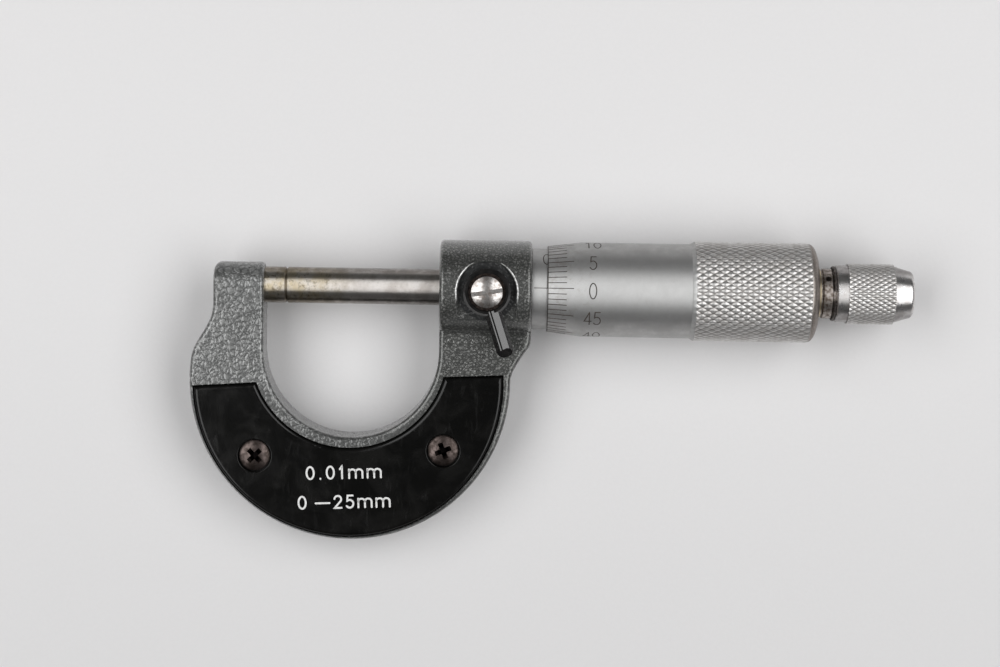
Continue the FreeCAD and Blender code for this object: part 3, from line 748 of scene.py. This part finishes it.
# ---------------------------------------------------------------- thimble
bevel_slope = (barrel_r - bevel_edge_r) / bevel_length
bore_r = 7.35
bore_end = thimble_start + 34.05
tail_hole_r = 2.2
tail_seat_r = 4.6
tail_r = 4.8
tail_gap = 0.12              # of the rounded end under the knurl's crests
barrel_middle = grip_start - 12
edge_break = 0.08            # at the bevel's thin front edge
lip = 0.05                   # at the foot of a chamfer
crest_gap = 0.1              # of the chamfer under the knurl's crests


def thimble():
    """Turned thimble: graduated bevel, plain barrel, diamond knurled grip and rounded tail."""
    band_start = grip_start + grip_chamfer
    front = [(band_start - crest_gap, knurl_r - crest_gap), (grip_start + lip, barrel_r + lip),
             (grip_start, barrel_r), (barrel_middle, barrel_r),
             (thimble_start + bevel_length, barrel_r),
             (thimble_start + edge_break, bevel_edge_r), (thimble_start, bevel_edge_r - edge_break),
             (thimble_start, bore_r), (bore_end, bore_r), (bore_end, tail_hole_r)]
    tail = rounded(grip_end, tail_r, thimble_end - grip_end, knurl_r - tail_gap - tail_r,
                   (0, 10, 22, 34, 46, 58, 70, 80, 90))
    tail += [(washer_start, tail_seat_r), (washer_start, tail_hole_r)]
    shell = knurled_band(band_start, grip_end, knurl_r, knurl_depth,
                         knurls_around, knurl_axial_pitch)
    rims = [turned_end(shell, band_start, front), turned_end(shell, grip_end, tail)]
    bmesh.ops.bridge_loops(shell, edges=rims[0] + rims[1])

    def knurled(face):
        return int(face.calc_center_median().x > band_start)

    made = finished("thimble_knurled", shell, [THIMBLE_CHROME, THIMBLE_KNURL],
                    "thimble", KNURL_SMOOTH, knurled)
    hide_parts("thimble")


def thimble_surface(x, y, lift):
    """A point over the thimble; y runs round it, as an arc on the barrel."""
    bevel = min(0.0, x - thimble_start - bevel_length) * bevel_slope
    return round_point(x, y / barrel_r, barrel_r + bevel + lift)


def thimble_scale():
    """Fifty division lines on the bevel, with a number at each fifth."""
    shell = bmesh.new()
    line_start = thimble_start + 0.12
    short, long, stroke = 3.35, 4.6, 0.15
    number_centre = thimble_start + 8.05
    number_shift = -0.42     # the numbers sit a little clockwise of their lines
    digit_height, digit_width, digit_gap, digit_stroke = 2.75, 1.25, 0.42, 0.2
    lift = 0.012
    arc = 2 * math.pi * barrel_r / divisions
    for i in range(divisions):
        line_end = thimble_start + (short if i % 5 else long)
        y = i * arc
        add_ribbon(shell, [(line_start, y), (line_end, y)], stroke, lift, thimble_surface)
    for number in range(0, divisions, 5):
        text = str(number)
        left = number_centre - text_width(text, digit_width, digit_gap) / 2
        base = number * arc + number_shift - digit_height / 2
        add_text(shell, text, left, base, digit_height, digit_width, digit_gap, digit_stroke,
                 lift, thimble_surface)
    finished("thimble_scale", shell, [ENGRAVED_INK], "thimble")


# ---------------------------------------------------------------- sleeve scale
def sleeve_surface(x, y, lift):
    return round_point(x, y / sleeve_high.z, sleeve_high.z + lift)


def sleeve_scale():
    """Datum line, whole millimetres above it and halves below it, numbered by fives."""
    shell = bmesh.new()
    stroke, lift = 0.13, 0.01
    whole, fifth, half = 2.6, 3.8, -2.6     # ends of the lines, round from the datum line
    zero = thimble_start
    add_ribbon(shell, [(sleeve_low.x + 0.3, 0), (zero + scale_length + 0.5, 0)], stroke, lift,
               sleeve_surface)
    for half_mm in range(2 * scale_length + 1):
        x = zero + half_mm / 2
        if half_mm % 2:
            end = half
        else:
            end = whole if half_mm % 10 else fifth
        add_ribbon(shell, [(x, 0), (x, end)], stroke, lift, sleeve_surface)
    digit_height, digit_width, digit_gap, digit_stroke = 2.6, 1.2, 0.4, 0.18
    number_centre = 5.9
    number_shift = 0.2       # the numbers sit a little before their lines
    for number in range(0, scale_length + 1, 5):
        text = str(number)
        left = zero + number - number_shift - text_width(text, digit_width, digit_gap) / 2
        add_text(shell, text, left, number_centre - digit_height / 2, digit_height,
                 digit_width, digit_gap, digit_stroke, lift, sleeve_surface)
    finished("sleeve_scale", shell, [ENGRAVED_INK], "sleeve")


# ---------------------------------------------------------------- ratchet knob
knob_nose_r = 4.3
knob_bore_r = 4.3
knob_bore_end = knob_grip_end - 0.75
keyway_start = millimetres(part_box("knob_bush")[1]).x + 0.05
keyway_r = 4.68              # clears the corners of the clutch disc's keys
keyway_half = 0.69           # half its width, with room for one step of the rim
nose_round = 0.8
mouth_round = 0.2            # chamfer of the band's edge towards the thimble
hub_hole_r = 0.3             # the faces across the axis close on a ring this small


def keyed_bore(angle):
    """Radius of the knob's bore, with a keyway on either side along Y."""
    return keyway_r if abs(knob_bore_r * math.cos(angle)) < keyway_half else knob_bore_r


def ratchet_knob():
    """Knob with a polished band, a fine diamond knurl and a polished cone with a rounded end."""
    front = [(knob_grip_start - lip, knob_band_r), (knob_low.x + mouth_round, knob_band_r),
             (knob_low.x, knob_band_r - mouth_round), (knob_low.x, knob_bore_r),
             (keyway_start, knob_bore_r), (keyway_start, keyed_bore),
             (knob_bore_end, keyed_bore), (knob_bore_end, hub_hole_r)]
    nose = [(knob_grip_end + lip, knob_band_r)]
    nose += rounded(knob_high.x - nose_round, knob_nose_r - nose_round, nose_round, nose_round,
                    (0, 15, 30, 45, 60, 75, 90))
    nose.append((knob_high.x, hub_hole_r))
    shell = knurled_band(knob_grip_start, knob_grip_end, knob_grip_r, knob_knurl_depth,
                         knob_knurls_around, knob_knurl_axial_pitch)
    for x, profile in ((knob_grip_start, front), (knob_grip_end, nose)):
        bmesh.ops.holes_fill(shell, edges=turned_end(shell, x, profile))
    bmesh.ops.remove_doubles(shell, verts=shell.verts, dist=1e-5)

    def knurled(face):
        middle = face.calc_center_median()
        outside = math.hypot(*middle.yz) > knob_bore_r + 0.2
        return int(knob_grip_start < middle.x < knob_grip_end and outside)

    made = finished("ratchet_knob_knurled", shell, [KNOB_CHROME, KNOB_KNURL],
                    "ratchet_knob", KNURL_SMOOTH, knurled)
    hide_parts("ratchet_knob")


# ---------------------------------------------------------------- clutch spring
def clutch_spring():
    """Coil spring behind the clutch disc, built as a fixed coil on the ratchet knob."""
    low, high = map(millimetres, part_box("clutch_spring"))
    wire_r = 0.34
    turns, steps, sides = 4, 32, 8      # of the coil, in each turn, and round the wire
    coil_r = high.z - wire_r
    start, end = low.x + wire_r, high.x - wire_r
    shell = bmesh.new()
    rings = []
    for i in range(turns * steps + 1):
        angle = 2 * math.pi * i / steps
        x = start + (end - start) * i / (turns * steps)
        ring = []
        for k in range(sides):
            around = 2 * math.pi * k / sides
            place = round_point(x + wire_r * math.sin(around), angle,
                                coil_r + wire_r * math.cos(around))
            ring.append(shell.verts.new(place))
        rings.append(ring)
    for a, b in zip(rings, rings[1:]):
        join_loops(shell, a, b, False)
    shell.faces.new(rings[0])
    shell.faces.new(rings[-1][::-1])
    made = finished("clutch_spring_coil", shell, [WIRE], "ratchet_knob")
    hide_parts("clutch_spring")
    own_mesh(made)


# ---------------------------------------------------------------- lettering on the front cover
text_tilt = math.radians(2.4)


def cover_surface(x, y, lift):
    """A point over the front cover; y is up the frame from the spindle's axis."""
    return Vector((x, 0, 0)) - y * plate_down + lock_axis * (cover_top + lift)


def add_cover_line(shell, text, left, base, gap):
    """One line of lettering, tilted about its lower left corner."""
    height, width, stroke, thickness = 2.2, 1.3, 0.34, 0.02
    widths = {"1": 0.9, ".": 0.5, " ": 0.05, "m": 2.4, "-": 2.5}

    def place(x, y, lift):
        dx, dy = x - left, y - base
        return cover_surface(left + dx * math.cos(text_tilt) - dy * math.sin(text_tilt),
                             base + dx * math.sin(text_tilt) + dy * math.cos(text_tilt), lift)

    add_text(shell, text, left, base, height, width, gap, stroke, thickness, place, widths)


def lettering():
    """Graduation and range, in plain single strokes."""
    shell = bmesh.new()
    add_cover_line(shell, "0.01mm", left=4.15, base=-34.8, gap=0.92)
    add_cover_line(shell, "0 -25mm", left=2.75, base=-40.25, gap=0.87)
    finished("cover_lettering", shell, [WHITE_INK], "frame")


# ---------------------------------------------------------------- stage, light and camera
def floor():
    half = 3.0               # of its side, in metres, so that its edges stay out of sight
    mesh = bpy.data.meshes.new("floor")
    z = floor_z * MM
    mesh.from_pydata([(-half, -half, z), (half, -half, z), (half, half, z), (-half, half, z)],
                     [], [(0, 1, 2, 3)])
    made = bpy.data.objects.new("floor", mesh)
    mesh.materials.append(floor_paper())
    bpy.context.scene.collection.objects.link(made)


def softbox(name, place, target, size, power):
    """An elliptical area light that faces a target; size is its extent along Y and across it."""
    data = bpy.data.lights.new(name, "AREA")
    data.shape = "ELLIPSE"
    data.size, data.size_y = size
    data.energy = power
    made = bpy.data.objects.new(name, data)
    made.location = place
    made.rotation_mode = "QUATERNION"
    made.rotation_quaternion = (Vector(place) - Vector(target)).to_track_quat("Z", "Y")
    bpy.context.scene.collection.objects.link(made)


def dark_room(horizon_grey, room_grey, horizon_height):
    """A room that is lighter at the horizon than above horizon_height, the sine of an elevation."""
    world = bpy.data.worlds.new("studio")
    bpy.context.scene.world = world
    world.use_nodes = True
    tree = world.node_tree
    direction = tree.nodes.new("ShaderNodeTexCoord").outputs["Generated"]
    height = tree.nodes.new("ShaderNodeSeparateXYZ")
    tree.links.new(direction, height.inputs[0])
    ramp = tree.nodes.new("ShaderNodeValToRGB")
    tree.links.new(height.outputs["Z"], ramp.inputs["Fac"])
    horizon, room = ramp.color_ramp.elements
    horizon.position, horizon.color = 0.0, (*horizon_grey, 1)
    room.position, room.color = horizon_height, (*room_grey, 1)
    tree.links.new(ramp.outputs["Color"], tree.nodes["Background"].inputs["Color"])


def studio():
    """Two soft boxes left and right of the camera over a pale floor, in a dark room."""
    middle = (0.04, -0.01, 0.0)
    height = 0.55
    size = (1.04, 0.5)
    power = 3.4
    softbox("softbox_left", (-0.36, 0.0, height), middle, size, power)
    softbox("softbox_right", (0.44, 0.0, height), middle, size, power)
    dark_room((0.24, 0.24, 0.245), (0.07, 0.07, 0.07), 0.15)


def camera():
    """Looks straight down on the micrometer from 440 mm, through a long lens."""
    data = bpy.data.cameras.new("camera")
    data.lens = 87.6
    data.sensor_width = 36.0
    data.clip_start = 0.01
    data.clip_end = 20
    made = bpy.data.objects.new("camera", data)
    made.location = (38.6 * MM, -8.2 * MM, 440 * MM)
    made.rotation_euler = (0, 0, math.radians(0.94))
    bpy.context.scene.collection.objects.link(made)
    bpy.context.scene.camera = made


for name, node in NODES.items():
    for slot in node.material_slots:
        slot.material = FINISHES[name]

thimble()
thimble_scale()
sleeve_scale()
ratchet_knob()
clutch_spring()
lettering()
floor()
studio()
camera()
bpy.context.scene.view_settings.view_transform = "Standard"
